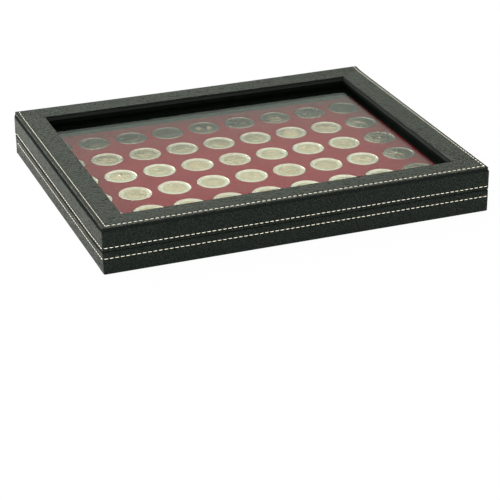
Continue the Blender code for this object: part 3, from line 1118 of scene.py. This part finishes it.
def coinLayout(group):
    layout = Layout("coinRow")
    count = layout.size("Coins", "NodeSocketInt")
    start = layout.size("Start", "NodeSocketVector")
    step = layout.size("Step", "NodeSocketVector")
    tilt = layout.size("Tilt")
    seed = layout.size("Seed", "NodeSocketInt")
    values = {"Count": count, "Start Location": start, "Offset": step}
    row = layout.add("GeometryNodeMeshLine", values, mode="OFFSET")
    values = {"Collection": group, "Separate Children": True, "Reset Children": True}
    stock = layout.add("GeometryNodeCollectionInfo", values)
    pick = layout.random("INT", 0, len(motifs) - 1, seed)
    values = {"Points": row, "Instance": stock, "Pick Instance": True, "Instance Index": pick}
    placed = layout.add("GeometryNodeInstanceOnPoints", values)
    lean = layout.negative(tilt)
    low = layout.add("ShaderNodeCombineXYZ", {"X": lean, "Y": lean, "Z": 0.0})
    high = layout.add("ShaderNodeCombineXYZ", {"X": tilt, "Y": tilt, "Z": 2 * pi})
    turned = layout.rotate(placed, layout.random("FLOAT_VECTOR", low, high, seed))
    values = {"Geometry": turned, "Name": "tone", "Value": layout.random("FLOAT", 0.0, 1.0, seed)}
    toned = layout.add("GeometryNodeStoreNamedAttribute", values, data_type="FLOAT", domain="INSTANCE")
    layout.close(toned, coinMetal)
    return layout


def makeCoins():
    group = bpy.data.collections.new("coinShapes")
    bpy.context.scene.collection.children.link(group)
    for index, motif in enumerate(motifs):
        makeCoinShape(index, motif, group)
    layout = coinLayout(group)
    for row in range(tray["rows"]):
        x, y = coinCenter(row, 0)
        host = addObject(f"coinRow{row + 1}", bpy.data.meshes.new("coins"))
        sizes = {
            "Coins": tray["columns"],
            "Start": (x, y, tray["recessFloor"] + coin["rise"]),
            "Step": (tray["pitch"][0], 0.0, 0.0),
            "Tilt": coin["tilt"],
            "Seed": coin["firstSeed"] + row,
        }
        layout.apply(host, sizes)
        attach(host, "tray")
    for shape in list(group.objects):
        bpy.data.objects.remove(shape)
    bpy.data.collections.remove(group)


makeCoins()
print("coins made")


# Ground and light

light = {
    "world": 1.0,
    "keyLamp": {"place": (-1.3, 2.1, 0.50), "size": 1.0, "power": 18.0},
    "floorLamp": {"place": (-0.75, 1.4, 0.55), "size": 0.7, "power": 30.0, "aim": (-0.75, 1.3, 0)},
    "fillLamp": {"place": (-0.4, -1.5, 1.3), "size": 0.7, "power": 9.0},
}

studio = {
    "ground": (0.92, 0.92, 0.92, 1), "groundReach": 6,
    "groundGlow": 0.95,  # share of the white that the camera sees on the ground
    "wall": (0.85, 0.96, 0.86),  # a pale wall behind, outside the picture
    "wallCloud": (0.765, 0.864, 0.774), "wallCloudSize": 0.8, "wallCloudShare": 0.25,
    "wallPlace": 3.2, "wallReach": 5.0,
}


def addGround():
    constants = {"Base Color": studio["ground"], "Roughness": 1.0, "Specular IOR Level": 0.0}
    finish = Finish("paleGround", constants)
    seen = finish.add("ShaderNodeLightPath", output="Is Camera Ray")
    values = {"Color": (1, 1, 1, 1), "Strength": light["world"]}
    glow = finish.add("ShaderNodeEmission", values)
    finish.cover(seen * studio["groundGlow"], glow)
    reach = studio["groundReach"]
    points = [(-reach, -reach, 0), (reach, -reach, 0), (reach, reach, 0), (-reach, reach, 0)]
    ground = addPiece("ground", points, [(0, 1, 2, 3)], finish.material)


def addWall():
    # Stands far behind, where the pane and the cover mirror it
    finish = Finish("wallPaint", {"Roughness": 0.95, "Specular IOR Level": 0.1})
    clouds = finish.noise(studio["wallCloudSize"])
    share = clouds * studio["wallCloudShare"]
    finish.use(Base_Color=finish.shades(share, studio["wall"], studio["wallCloud"]))
    place, reach = studio["wallPlace"], studio["wallReach"]
    points = [(-reach, place, 0), (reach, place, 0), (reach, place, reach), (-reach, place, reach)]
    wall = addPiece("backWall", points, [(0, 1, 2, 3)], finish.material)


def addWorld():
    world = bpy.data.worlds.new("studio")
    bpy.context.scene.world = world
    world.use_nodes = True
    background = world.node_tree.nodes["Background"]
    background.inputs["Color"].default_value = (1, 1, 1, 1)
    background.inputs["Strength"].default_value = light["world"]


def addLamp(name, lamp):
    data = bpy.data.lights.new(name, "AREA")
    data.size = lamp["size"]
    data.energy = lamp["power"]
    holder = addObject(name, data)
    holder.location = lamp["place"]
    ahead = Vector(lamp.get("aim", (0, 0, 0))) - holder.location
    holder.rotation_euler = ahead.to_track_quat("-Z", "Y").to_euler()


addGround()
addWall()
addWorld()
for lampName in ("keyLamp", "floorLamp", "fillLamp"):
    addLamp(lampName, light[lampName])
print("studio made")
